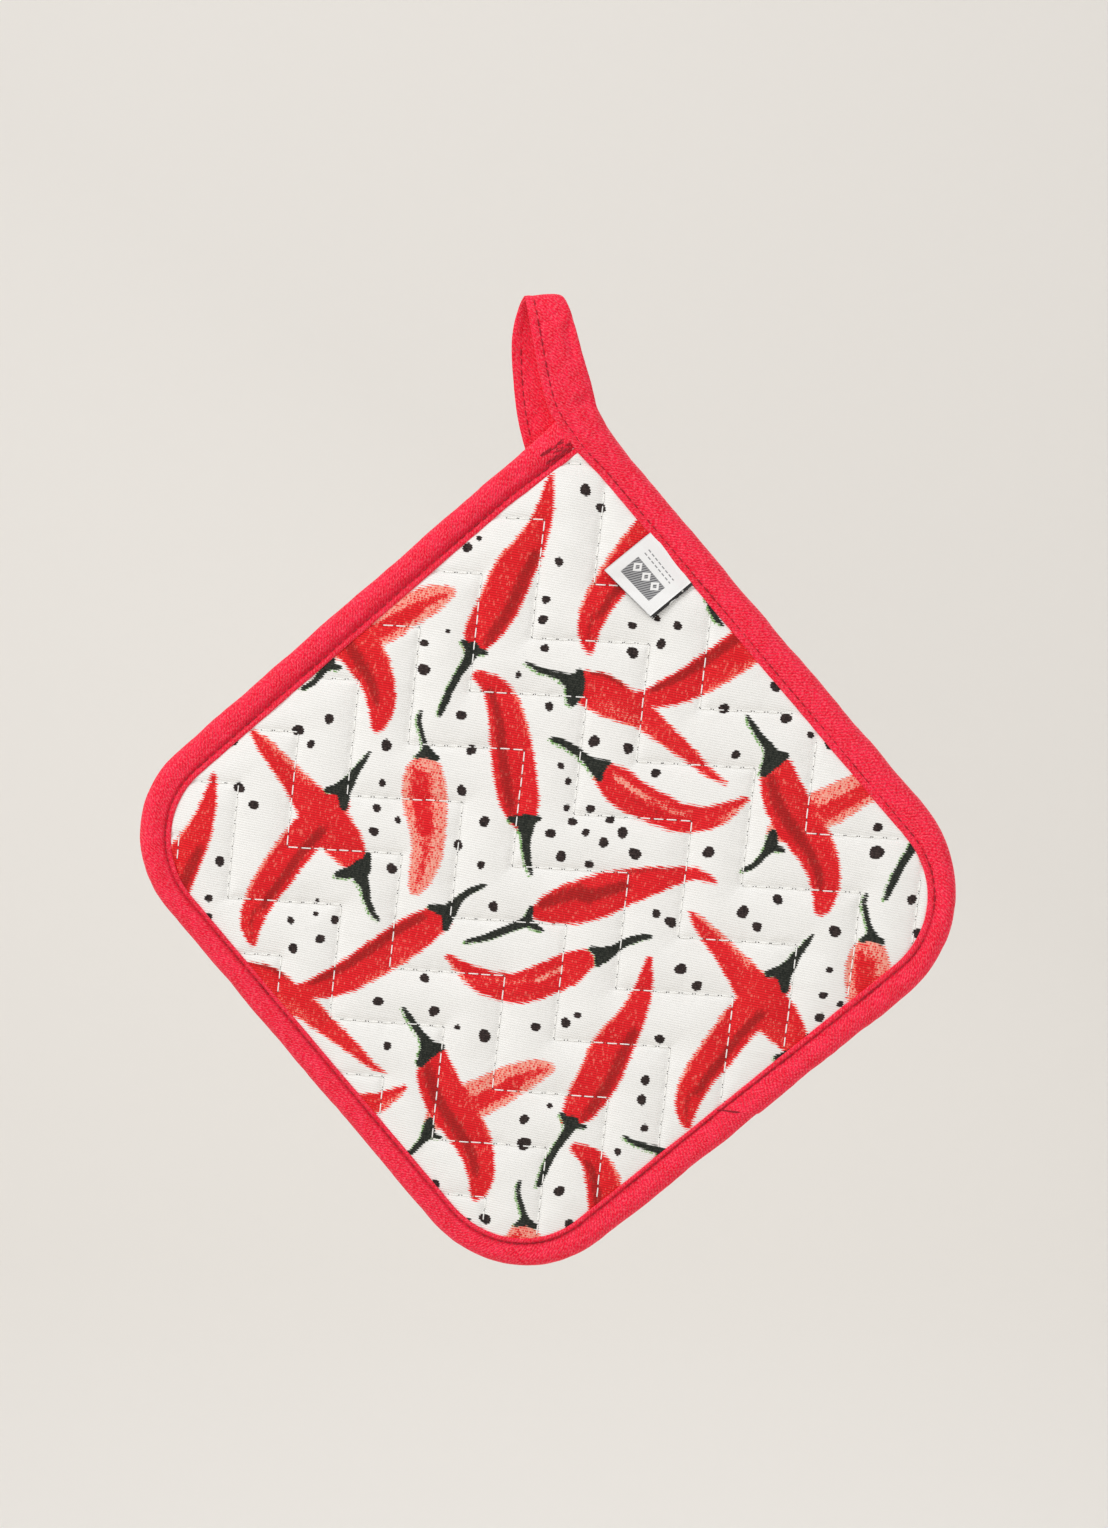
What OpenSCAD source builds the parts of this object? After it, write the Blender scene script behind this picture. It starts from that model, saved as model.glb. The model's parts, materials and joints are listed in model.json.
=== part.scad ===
// Quilted square pot holder, hung by a corner loop of its own binding tape.
// Millimetres. +Z is up, the printed front faces -Y, and the origin is the inside top of the loop.

/* [Pad] */
// Side of the square pad, over its binding
pad_side = 203.2; // [180:0.2:240]
// Thickness of the quilted middle, over both covers
pad_t = 8.4; // [7.6:0.2:14]
// Thickness of one cover
cover_t = 0.5; // [0.3:0.1:1]
// Outer radius of the three rounded corners
corner_r = 37; // [25:1:60]
// How far the pad hangs turned clockwise from an upright diamond
hang_turn = 4.9; // [0:0.1:12]

/* [Binding] */
// Thickness of the pad over its bound edge
bound_t = 6.8; // [5:0.2:7]
// Thickness of the turned binding tape
tape_t = 0.6; // [0.4:0.1:1]
// Width of tape seen on the upper left side
tape_upper_left = 10; // [8:0.2:14]
// Width of tape seen on the lower left side
tape_lower_left = 8.8; // [8:0.2:14]
// Width of tape seen on the lower right side
tape_lower_right = 9.6; // [8:0.2:14]
// Width of tape seen on the upper right side
tape_upper_right = 10.6; // [8:0.2:14]
// Radius of the window's rounded corners, inside the tape
window_r = 28; // [16:1:50]
// Place of the slanting tape join, along the lower right side from its middle
join_at = 8.5; // [-30:0.5:30]

/* [Thread] */
// Width of one row of stitching
thread_w = 0.5; // [0.3:0.1:0.8]
// Depth that a row of stitching is pulled in
thread_t = 0.3; // [0.1:0.1:0.4]
// Distance of the topstitching from the tape's inner edge
topstitch_in = 1.8; // [1:0.1:3]
// Distance between two rows of quilting
quilt_pitch = 25.4; // [18:0.2:40]
// Length of one zigzag of the quilting, along the pad's side
quilt_wave = 49.8; // [36:0.2:80]
// Height of one zigzag of the quilting
quilt_rise = 26.7; // [10:0.1:40]
// Place of one row's peaks, from the pad's middle
quilt_start = 18.8; // [0:0.1:25]
// Place of a peak along the pad's side, from the middle
quilt_shift = 31.3; // [0:0.1:50]

/* [Hanging loop] */
// Height of the hang point above the pad's middle
hang_drop = 175.6; // [170:0.2:190]
// Sideways distance from the hang point to the pad's middle
hang_side = 1.4; // [0:0.1:5]
// Width of the loop's strap
strap_w = 12.5; // [8:0.5:16]
// Thickness of the loop's strap
strap_t = 1.8; // [1:0.1:3]
// Half of the eye's width
eye_r = 3; // [2.4:0.1:4]
// Length of the eye's straight legs
eye_h = 21; // [12:1:22]
// Thickness of the strap where it flexes above the pad
foot_t = 2.4; // [1.6:0.2:3]
// Distance of the flexing line from the pad's middle, along its diagonal
flex_at = 141; // [141:0.5:142]
// Distance of the pad's cut corner from its middle
corner_cut = 137; // [132:0.5:137]

/* [Bar tack] */
// Length of the bar tack that closes the loop
tack_l = 13; // [8:1:18]
// Width of the bar tack
tack_w = 3; // [2:0.5:4]
// Distance of the bar tack from the pad's corner, along the upper left side
tack_from_corner = 20; // [16:1:30]

/* [Labels] */
// Length of the side label along the tape
label_l = 23; // [12:1:40]
// Width of the side label, out over the cover
label_w = 16.5; // [8:0.5:24]
// Thickness of the folded side label
label_t = 0.5; // [0.4:0.1:0.8]
// Thickness of the care label
care_t = 0.25; // [0.15:0.05:0.4]
// How far the care label shows past the side label
care_step = 0.8; // [0:0.1:2]
// Place of the label's middle along the upper right side
label_at = 48.5; // [0:0.5:60]
// Gap between a label and the cover
label_gap = 0.35; // [0.3:0.05:1]

/* [Hidden] */
$fn = 96;
half = pad_side / 2;
half_t = pad_t / 2;
bound_h = bound_t / 2;
flange_h = bound_h - tape_t - cover_t;
pad_turn = 45 - hang_turn;
rise_in = 1;
hinge_x = hang_side + flex_at * sin(hang_turn);
hinge_z = flex_at * cos(hang_turn) - hang_drop;
foot_gap = 1;
diagonal = 45;
far = 2 * pad_side;

// The pad's own plane: x runs up to the right, y up to the left, z out of the printed front
module on_pad() {
    translate([hang_side, 0, -hang_drop]) rotate([90, 0, 0]) rotate([0, 0, pad_turn]) children();
}

// A square with three round corners and a cut one at the loop, each side brought in by its own amount
module pad_shape(lower_left, upper_right, lower_right, upper_left, r) {
    left = lower_left - half;
    right = half - upper_right;
    low = lower_right - half;
    high = half - upper_left;
    difference() {
        union() {
            translate([left, low + r]) square([right - left, high - low - 2 * r]);
            translate([left + r, low]) square([right - left - 2 * r, high - low]);
            translate([right - r, high - r]) square(r);
            for (centre = [[left + r, low + r], [right - r, low + r], [left + r, high - r]])
                translate(centre) circle(r = r);
        }
        rotate(diagonal) translate([corner_cut, -half]) square([half, pad_side]);
    }
}

module outline(inset) {
    pad_shape(inset, inset, inset, inset, corner_r - inset);
}

// The part of a cover that the tape leaves open, brought in by inset
module window(inset) {
    pad_shape(tape_lower_left + inset, tape_upper_right + inset,
        tape_lower_right + inset, tape_upper_left + inset, window_r - inset);
}

// A sheet between two heights
module sheet(low, high) {
    translate([0, 0, low]) linear_extrude(high - low) children();
}

// One half of the pad's stuffing, standing on the pad's middle plane
module ply() {
    sheet(0, flange_h) outline(tape_t);
    sheet(0, half_t - cover_t) window(rise_in + cover_t);
}

// A cover drawn down from the quilted middle to a hem under the tape
module cover() {
    sheet(flange_h, flange_h + cover_t) difference() {
        outline(tape_t);
        window(rise_in + cover_t);
    }
    sheet(flange_h + cover_t, half_t) difference() {
        window(rise_in);
        window(rise_in + cover_t);
    }
    sheet(half_t - cover_t, half_t) window(rise_in + cover_t);
}

// The tape folded round the whole edge, front lip to back lip
module tape() {
    sheet(-bound_h, bound_h) difference() {
        outline(0);
        outline(tape_t);
    }
    for (side = [0, 1]) mirror([0, 0, side]) sheet(bound_h - tape_t, bound_h) difference() {
        outline(tape_t);
        window(0);
    }
}

// Everything to the right of the slanting join, grown by extra
module right_of_join(extra) {
    translate([-join_at - extra, tape_lower_right - half]) rotate(diagonal)
        translate([0, -far]) square([far, 2 * far]);
}

// The run of the tape that ends in the loop: the upper right side, the right corner and on to the join
module right_run(extra) {
    translate([half - tape_upper_right, -half]) square([tape_upper_right, pad_side]);
    intersection() {
        translate([-half / 2, -half]) square([pad_side, half]);
        right_of_join(extra);
    }
}

// Rows of zigzag stitching over the window
module quilting() {
    rows = floor((half + quilt_rise) / quilt_pitch) + 1;
    legs = ceil(pad_side / quilt_wave) + 1;
    intersection() {
        window(rise_in + cover_t);
        for (row = [-rows:rows]) {
            top = quilt_start + row * quilt_pitch;
            edge = [for (leg = [-legs:legs])
                [top - (abs(leg) % 2) * quilt_rise, quilt_shift + leg * quilt_wave / 2]];
            translate([-thread_w / 2, 0]) polygon(concat(edge,
                [for (i = [len(edge) - 1:-1:0]) edge[i] + [thread_w, 0]]));
        }
    }
}

// A ring-shaped row of stitching that follows the tape's inner edge
module topstitch_row() {
    difference() {
        window(-topstitch_in);
        window(-topstitch_in + thread_w);
    }
}

// The strap's edge: a band that runs round the eye, between two distances from it
module strap_edge(inner, outer) {
    difference() {
        eye(eye_r + outer);
        eye(eye_r + inner);
    }
}

module eye(r) {
    circle(r = r);
    translate([-r, -eye_h]) square([2 * r, eye_h]);
    translate([0, -eye_h]) circle(r = r);
}

// Stands a drawing of the strap's edge up and gives it a width
module across_strap(width) {
    translate([0, 0, -eye_r]) rotate([90, 0, 90]) linear_extrude(width, center = true) children();
}

module front_cover() {
    color("whitesmoke") on_pad() cover();
}

module batting_front_ply() {
    color("ivory") on_pad() ply();
}

module batting_back_ply() {
    color("ivory") on_pad() mirror([0, 0, 1]) ply();
}

module back_cover() {
    color("whitesmoke") on_pad() mirror([0, 0, 1]) cover();
}

module binding_left() {
    color("crimson") on_pad() difference() {
        tape();
        sheet(-pad_t, pad_t) right_run(thread_w);
    }
}

module binding_right() {
    color("crimson") on_pad() intersection() {
        tape();
        sheet(-pad_t, pad_t) right_run(0);
    }
}

module binding_join_seam() {
    color("firebrick") on_pad() intersection() {
        tape();
        sheet(-pad_t, pad_t) difference() {
            right_run(thread_w);
            right_run(0);
        }
    }
}

module binding_topstitch() {
    color("firebrick") on_pad() for (side = [0, 1]) mirror([0, 0, side])
        sheet(bound_h - thread_t, bound_h) topstitch_row();
}

module quilting_thread_front() {
    color("white") on_pad() sheet(half_t - thread_t, half_t) quilting();
}

module quilting_thread_back() {
    color("white") on_pad() sheet(-half_t, thread_t - half_t) quilting();
}

module hanging_loop() {
    foot_low = hinge_z + foot_gap;
    foot_high = -eye_h - 2 * eye_r - strap_t / 2;
    color("crimson") {
        across_strap(strap_w) strap_edge(0, strap_t);
        translate([-strap_w / 2, -foot_t / 2, foot_low])
            cube([hinge_x + strap_w, foot_t, foot_high - foot_low]);
    }
}

module loop_stitching() {
    color("firebrick") translate([topstitch_in - strap_w / 2, 0, 0])
        across_strap(thread_w) strap_edge(strap_t - thread_t, strap_t);
}

module loop_bar_tack() {
    color("firebrick") on_pad()
        translate([half - tack_from_corner - tack_l, half - tape_upper_left / 2 - tack_w / 2, bound_h])
            cube([tack_l, tack_w, thread_t]);
}

module side_label() {
    color("white") on_pad()
        translate([half - tape_upper_right - label_w, label_at - label_l / 2, half_t + label_gap + care_t])
            cube([label_w - label_gap, label_l, label_t]);
}

module care_label() {
    color("dimgray") on_pad()
        translate([half - tape_upper_right - label_w, label_at - label_l / 2 - care_step, half_t + label_gap])
            cube([label_w - label_gap, label_l, care_t]);
}

front_cover();
batting_front_ply();
batting_back_ply();
back_cover();
binding_left();
binding_right();
binding_join_seam();
binding_topstitch();
quilting_thread_front();
quilting_thread_back();
hanging_loop();
loop_stitching();
loop_bar_tack();
side_label();
care_label();
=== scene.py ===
import json
import math
import bpy
import numpy as np
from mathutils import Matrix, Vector


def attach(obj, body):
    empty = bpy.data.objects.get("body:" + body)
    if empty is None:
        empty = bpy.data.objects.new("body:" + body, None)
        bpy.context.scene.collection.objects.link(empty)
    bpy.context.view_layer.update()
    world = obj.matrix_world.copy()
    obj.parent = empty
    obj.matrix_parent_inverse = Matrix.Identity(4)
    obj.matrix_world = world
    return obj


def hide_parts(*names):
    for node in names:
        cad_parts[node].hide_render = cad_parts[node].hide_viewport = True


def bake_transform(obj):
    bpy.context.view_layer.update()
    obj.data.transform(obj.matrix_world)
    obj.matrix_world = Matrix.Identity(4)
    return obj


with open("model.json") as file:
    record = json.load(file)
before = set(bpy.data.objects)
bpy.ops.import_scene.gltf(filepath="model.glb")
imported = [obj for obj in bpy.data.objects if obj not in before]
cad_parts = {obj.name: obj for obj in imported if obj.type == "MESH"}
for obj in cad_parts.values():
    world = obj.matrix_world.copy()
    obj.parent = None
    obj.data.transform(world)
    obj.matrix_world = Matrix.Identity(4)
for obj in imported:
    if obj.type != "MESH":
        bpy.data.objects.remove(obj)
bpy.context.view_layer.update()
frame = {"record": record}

# Everything is laid out in millimetres on the pad's own plane: x to the right, z up towards the
# loop's corner, and h out of the printed front. place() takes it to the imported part's frame.
MOUNTS = {m["name"]: m["pos_m"] for m in frame["record"]["mounts"]}
HALF = 101.6
CENTRE = (1000 * MOUNTS["back_face"][0], 1000 * MOUNTS["back_face"][2])
HANG_TURN = math.radians(4.9)
# Where the corners of the sewn square really lie: it came off the machine slightly skewed
TRUE_CORNERS = {(0, 143.68): (-2.7, 144.57), (143.68, 0): (145.69, -2.7),
                (0, -143.68): (-.47, -141.67), (-143.68, 0): (-142.56, -.11)}
# How wide the tape looks on each side, and with it the inner edges of the four sides
TAPE_UL, TAPE_LL, TAPE_LR, TAPE_UR = 10, 8.8, 9.6, 10.6
L_IN, R_IN, LOW_IN, HIGH_IN = TAPE_LL - HALF, HALF - TAPE_UR, TAPE_LR - HALF, HALF - TAPE_UL
WINDOW_R, MITRE_R = 28, .5
OUTER_R = {"left": 35, "bottom": 38, "right": 42}
# Half the folded tape's thickness
TAPE_H = 3.4
ROOT2 = math.sqrt(2)
rng = np.random.default_rng(7)


def skew_matrix():
    """The projective map that takes the square's corners to where they really lie."""
    rows, right = [], []
    for (x, z), (tx, tz) in TRUE_CORNERS.items():
        rows += [[x, z, 1, 0, 0, 0, -tx * x, -tx * z], [0, 0, 0, x, z, 1, -tz * x, -tz * z]]
        right += [tx, tz]
    return np.append(np.linalg.solve(np.array(rows, float), np.array(right, float)), 1).reshape(3, 3)


SKEW = skew_matrix()


def place(p):
    """Points (x, z, h) in millimetres on the pad's plane, in the part's frame in metres."""
    p = np.asarray(p, float)
    x, z, h = p[..., 0], p[..., 1], p[..., 2]
    d = SKEW[2, 0] * x + SKEW[2, 1] * z + SKEW[2, 2]
    tx = (SKEW[0, 0] * x + SKEW[0, 1] * z + SKEW[0, 2]) / d
    tz = (SKEW[1, 0] * x + SKEW[1, 1] * z + SKEW[1, 2]) / d
    c, s = math.cos(HANG_TURN), math.sin(HANG_TURN)
    return np.stack([CENTRE[0] + tx * c + tz * s, -h, CENTRE[1] - tx * s + tz * c], -1) / 1000


def from_uw(u, w):
    """From the square's own axes, along its sides, to x and z."""
    return (u - w) / ROOT2, (u + w) / ROOT2


def smooth(t):
    t = np.clip(t, 0, 1)
    return t * t * (3 - 2 * t)


def make(name, points, faces, material, body=None, **fields):
    """A smooth mesh piece from points on the pad's plane. Each field becomes a vector attribute."""
    mesh = bpy.data.meshes.new(name)
    mesh.from_pydata(place(points).tolist(), [], [list(map(int, f)) for f in faces])
    mesh.polygons.foreach_set("use_smooth", [True] * len(mesh.polygons))
    for key, values in fields.items():
        attribute = mesh.attributes.new(key, "FLOAT_VECTOR", "POINT")
        attribute.data.foreach_set("vector", np.asarray(values, np.float32).ravel())
    mesh.materials.append(material)
    mesh.update()
    piece = bpy.data.objects.new(name, mesh)
    bpy.context.scene.collection.objects.link(piece)
    if body:
        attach(piece, body)
    return piece


def grid_faces(rows, columns, close=False):
    """Four-sided faces over a grid of points, closed round its columns if asked."""
    a = np.arange(rows * columns).reshape(rows, columns)
    if close:
        a = np.concatenate([a, a[:, :1]], 1)
    return np.stack([a[:-1, :-1], a[1:, :-1], a[1:, 1:], a[:-1, 1:]], -1).reshape(-1, 4)


def curve_through(points, per):
    """A smooth line through the points, per steps to each gap (Catmull and Rom's curve)."""
    p = np.asarray(points, float)
    p = np.concatenate([[2 * p[0] - p[1]], p, [2 * p[-1] - p[-2]]])
    t = np.arange(per)[:, None] / per
    out = []
    for a, b, c, d in zip(p, p[1:], p[2:], p[3:]):
        out.append(.5 * (2 * b + (c - a) * t + (2 * a - 5 * b + 4 * c - d) * t ** 2
                         + (3 * b - a - 3 * c + d) * t ** 3))
    return np.concatenate(out + [p[-2:-1]])


def wander(t, seed, scale):
    """Soft noise in -1..1 along t."""
    k = np.random.default_rng(seed).uniform(-1, 1, 4096)
    t = np.asarray(t, float) / scale + 97
    i = np.floor(t).astype(int)
    f = smooth(t - i)
    return k[i % 4096] * (1 - f) + k[(i + 1) % 4096] * f


def wander2(x, z, seed, scale):
    """Soft noise in -1..1 over a plane."""
    k = np.random.default_rng(seed).uniform(-1, 1, (256, 256))
    x, z = np.asarray(x, float) / scale + 61, np.asarray(z, float) / scale + 61
    i, j = np.floor(x).astype(int), np.floor(z).astype(int)
    f, g = smooth(x - i), smooth(z - j)
    top = k[i % 256, j % 256] * (1 - f) + k[(i + 1) % 256, j % 256] * f
    low = k[i % 256, (j + 1) % 256] * (1 - f) + k[(i + 1) % 256, (j + 1) % 256] * f
    return top * (1 - g) + low * g


# ---- The print -------------------------------------------------------------------------------
# A motif is drawn in millimetres on the pad's own plane, x to the right and z up with the loop's
# corner on top. A stroke is a list of (x, z, half width) along its middle, stalk end first.
# A patch has its kind, its place across and its half width in shares of the body's, the shares of the
# length between which it lies, and its amount.
REPEATS = [(0, 0), (141, -44), (-141, 44), (99, 101), (-99, -101), (42, -145), (-42, 145)]

PEPPERS = {
    "pink_long": dict(
        body=[(-39, 29, 2.8), (-39.4, 24, 6.3), (-38.7, 17, 7), (-37.2, 9, 5.8), (-36.8, 1, 5),
              (-38, -6, 4), (-39.7, -11.2, 2)],
        stalk=[[(-41.8, 44.7, .5), (-42.3, 42, .8), (-41.7, 39.5, .8), (-40, 34.5, .8),
                (-39.2, 32.5, 1.6)], [(-39, 32, 1.6), (-42, 30.4, .8)],
               [(-39, 32, 1.6), (-36, 30.3, 1)]],
        patches=[("ink", -.15, .55, .1, .55, .75), ("ink", -.1, .35, .5, .95, .3)],
        tone=.34),
    "pink_tucked": dict(
        body=[(-28.5, -84, 3), (-24, -80, 6), (-17, -76.5, 6), (-10.5, -72.5, 5.6), (-5, -68.8, 5.2),
              (1, -65.4, 4.2), (6.4, -63, 1.8)],
        stalk=[[(-37.5, -96.5, .7), (-34.5, -94.5, .9), (-31.5, -90.5, 1.2), (-30, -88, 2),
                (-29.8, -84.5, 1.4)], [(-30, -88.6, 1.2), (-26.3, -89.2, .7)]],
        patches=[("ink", -.2, .5, .3, .75, .7), ("ink", -.1, .4, .7, .97, .35)],
        tone=.34),
    "speckled": dict(
        body=[(8.5, 56.3, 5.4), (14, 54.8, 6.3), (20, 52, 5.6), (26, 49.5, 4.4), (32, 45.3, 3.6),
              (38, 41.2, 2.9), (44, 36.8, 2.1), (49, 33, 1.4), (53.6, 30.7, .6)],
        stalk=[[(-10.5, 62.5, .4), (-8, 61.3, .8), (-4, 60, 1), (0, 59.4, 1.2), (3, 58, 2),
                (5.6, 58, 2.6)], [(6.2, 60.5, 1.4), (5.4, 56, 2.9), (4.7, 51.8, 1.7)]],
        patches=[("ink", .5, .5, 0, .25, .2), ("shade", .95, .3, 0, .2, .9),
                 ("ink", -.5, .5, .1, .5, -.2)],
        tone=.8),
    "long_cross": dict(
        body=[(-60.3, -2.5, 4.8), (-63.5, 1.5, 6.2), (-68, 6.3, 6.8), (-73, 11.5, 6),
              (-78.5, 17.5, 4.6), (-84, 23.3, 3.5), (-90, 29, 2.6), (-94.5, 33.6, .9)],
        stalk=[[(-50.3, -22, .4), (-52.5, -20, .9), (-54.5, -16, 1.1), (-55.5, -12, 1.5),
                (-57.5, -8, 2.6), (-57, -6.3, 3)],
               [(-55.4, -1.2, .9), (-55.8, -4, 1.6), (-58, -7, 2.4)],
               [(-58, -7, 2.6), (-64.3, -9, 1.2)]],
        patches=[("ink", -.7, .45, .5, 1, -.35), ("ink", .6, .5, 0, .25, -.15)],
        tone=.85),
    "crossing": dict(
        body=[(-66.3, 13.5, 4), (-71, 8, 6), (-77.5, 0, 5.8), (-83.6, -10, 5.6), (-87.3, -16, 5),
              (-89.9, -22, 4.4), (-91, -28, 3.3), (-90.2, -33, 1.4)],
        stalk=[[(-57, 30.5, .5), (-58.5, 28, .9), (-61, 24, 1.3), (-63, 20.5, 2), (-64.7, 18, 2.8)],
               [(-65, 18, 2.4), (-69.5, 17.3, 1.1)], [(-64.5, 17.5, 2.4), (-64, 12.8, 1.3)]],
        patches=[("shade", .45, .4, .15, .8, .9), ("shade", 0, .35, .78, 1, .6),
                 ("ink", -.95, .35, .3, .8, -.5)],
        tone=1),
    "plump": dict(
        body=[(-29.5, -64.5, 4.4), (-28.8, -69.5, 6.2), (-25.5, -76, 7), (-20.5, -82.5, 7),
              (-16.5, -88, 6.2), (-13.6, -94, 5.2), (-12.4, -100, 4.2), (-12.9, -105, 2.7),
              (-13.4, -107.2, 1.3)],
        stalk=[[(-40.5, -49, .5), (-38.5, -52, 1), (-36, -55.2, 1.1), (-33.5, -58, 1.5),
                (-31.5, -61.5, 2.8)], [(-31, -61, 2.2), (-28, -60.3, 1.3)],
               [(-32, -62, 2.6), (-34, -66, 1.4)]],
        patches=[("shade", -.35, .45, .05, .85, .85), ("ink", .95, .35, .35, .65, -.4)],
        tone=1),
    "slanting": dict(
        body=[(-32, -20, 4.4), (-37, -23.6, 5.5), (-43, -28.3, 6), (-50, -34, 5.8), (-58, -40, 5.2),
              (-66, -44.4, 4.2), (-72, -46.4, 2.5), (-78, -45.6, .8)],
        stalk=[[(-17.5, -7.6, .5), (-20, -8.8, .9), (-23, -10.6, 1.1), (-26, -13.6, 1.4),
                (-28.6, -17.3, 2.6)], [(-29, -17, 2.2), (-34.3, -16.3, 1.1)],
               [(-28.8, -18, 2.2), (-29.3, -22.3, 1.1)]],
        patches=[("shade", -.6, .4, .05, .85, .9), ("ink", .75, .4, .2, .6, -.4)],
        tone=1),
    "upright": dict(
        body=[(-27, 66.5, 3.4), (-24, 72, 5.7), (-20, 80, 6.5), (-16.3, 90, 6.4), (-11.2, 100, 4.4),
              (-8.2, 110, 2.7), (-7.2, 119.2, 1.1)],
        stalk=[[(-36, 44, .8), (-35, 47, 1.1), (-33.5, 51.5, 1.2), (-31, 57, 1.2), (-28.3, 62, 1.6),
                (-27.3, 65, 2.4)], [(-28, 65, 1.6), (-30.4, 67.4, .8)],
               [(-27, 64.7, 1.4), (-23, 64.2, .7)]],
        patches=[("shade", -.55, .45, .05, .62, .85), ("ink", .95, .3, .1, .8, -.35)],
        tone=1),
    "leaning": dict(
        body=[(-8, 15.5, 4.8), (-9.5, 20, 6.3), (-11.3, 28, 6.8), (-13, 36, 6.5), (-14.6, 43, 6),
              (-17, 50, 5), (-20.6, 54.6, 3.5), (-25, 57, 1.8)],
        stalk=[[(-3.7, -3, .5), (-4.8, 0, 1), (-5.8, 4, 1.2), (-6.2, 7.5, 1.4), (-6.4, 11, 2.4),
                (-7, 13, 2.6)], [(-7.5, 13, 2), (-11.6, 13.6, 1)], [(-6, 13.4, 2), (-2.9, 14.6, 1)]],
        patches=[("shade", .45, .4, .05, .9, .85), ("ink", -.85, .4, .5, .8, -.4)],
        tone=1),
    "broad": dict(
        body=[(-.5, -14.5, 2.8), (6, -12.1, 5.7), (13, -9.8, 6.7), (20, -6.6, 6.5), (27, -3.8, 5.5),
              (34, -1.4, 4.3), (40, .5, 3), (45, 1.8, 2.1), (50, 1.4, 1.4), (53, -.2, .7)],
        stalk=[[(-22.3, -26, .7), (-20, -25.3, .9), (-16, -24, 1.1), (-12, -22, 1.3), (-8, -20, 1.3),
                (-4, -18, 1.8)], [(-3.6, -17, 1.3), (-3, -13.6, .8)],
               [(-3, -18.4, 1.3), (1, -20.3, .6)]],
        patches=[("shade", .45, .55, 0, .3, .8), ("shade", .1, .45, .25, .52, .9),
                 ("shade", .8, .25, .5, .8, .5)],
        tone=1),
    "smiling": dict(
        body=[(14.5, -28.5, 3.7), (9.5, -31.8, 5.3), (3.5, -35.3, 5.4), (-3, -38.5, 5),
              (-10, -39.2, 4.5), (-17, -37.8, 3.8), (-23, -34.7, 2.5), (-27.7, -31.6, 1)],
        stalk=[[(34.5, -18.7, .7), (31, -19.6, 1.1), (27, -21.6, 1.2), (24, -23.9, 1.5),
                (20.7, -25.9, 2.6)], [(20, -25.7, 2), (16.7, -24.5, .9)],
               [(20, -26.2, 2.4), (19.2, -28.6, 1.3)]],
        patches=[("ink", -.15, .3, .12, .36, -.62), ("ink", -.35, .3, .38, .75, -.4),
                 ("ink", .7, .45, .8, 1, -.5), ("shade", .5, .3, .25, .6, .3)],
        tone=.97),
    "streaked": dict(
        body=[(16.6, 30.3, 3.8), (21, 26.9, 5.7), (27, 23.6, 5.5), (34, 20.8, 5.1), (41, 18.8, 4.6),
              (48, 19.3, 3.8), (54, 21.8, 2.9), (60.3, 26.4, .9)],
        stalk=[[(-1, 39.6, .5), (1, 39.3, 1), (5, 37.8, 1.2), (9, 35.3, 1.3), (12, 33.4, 1.8),
                (14, 32.3, 2.7)], [(13.5, 32.8, 2), (17.4, 33.8, .8)],
               [(13.5, 32, 2.4), (15, 28.9, 1.1)]],
        patches=[("ink", .3, .3, .05, .3, -.65), ("ink", .3, .4, .3, .62, -.4),
                 ("ink", -.5, .45, .78, 1, -.5), ("ink", -.25, .3, .15, .5, .3),
                 ("shade", -.2, .2, .2, .45, .4)],
        tone=.92),
}

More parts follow.
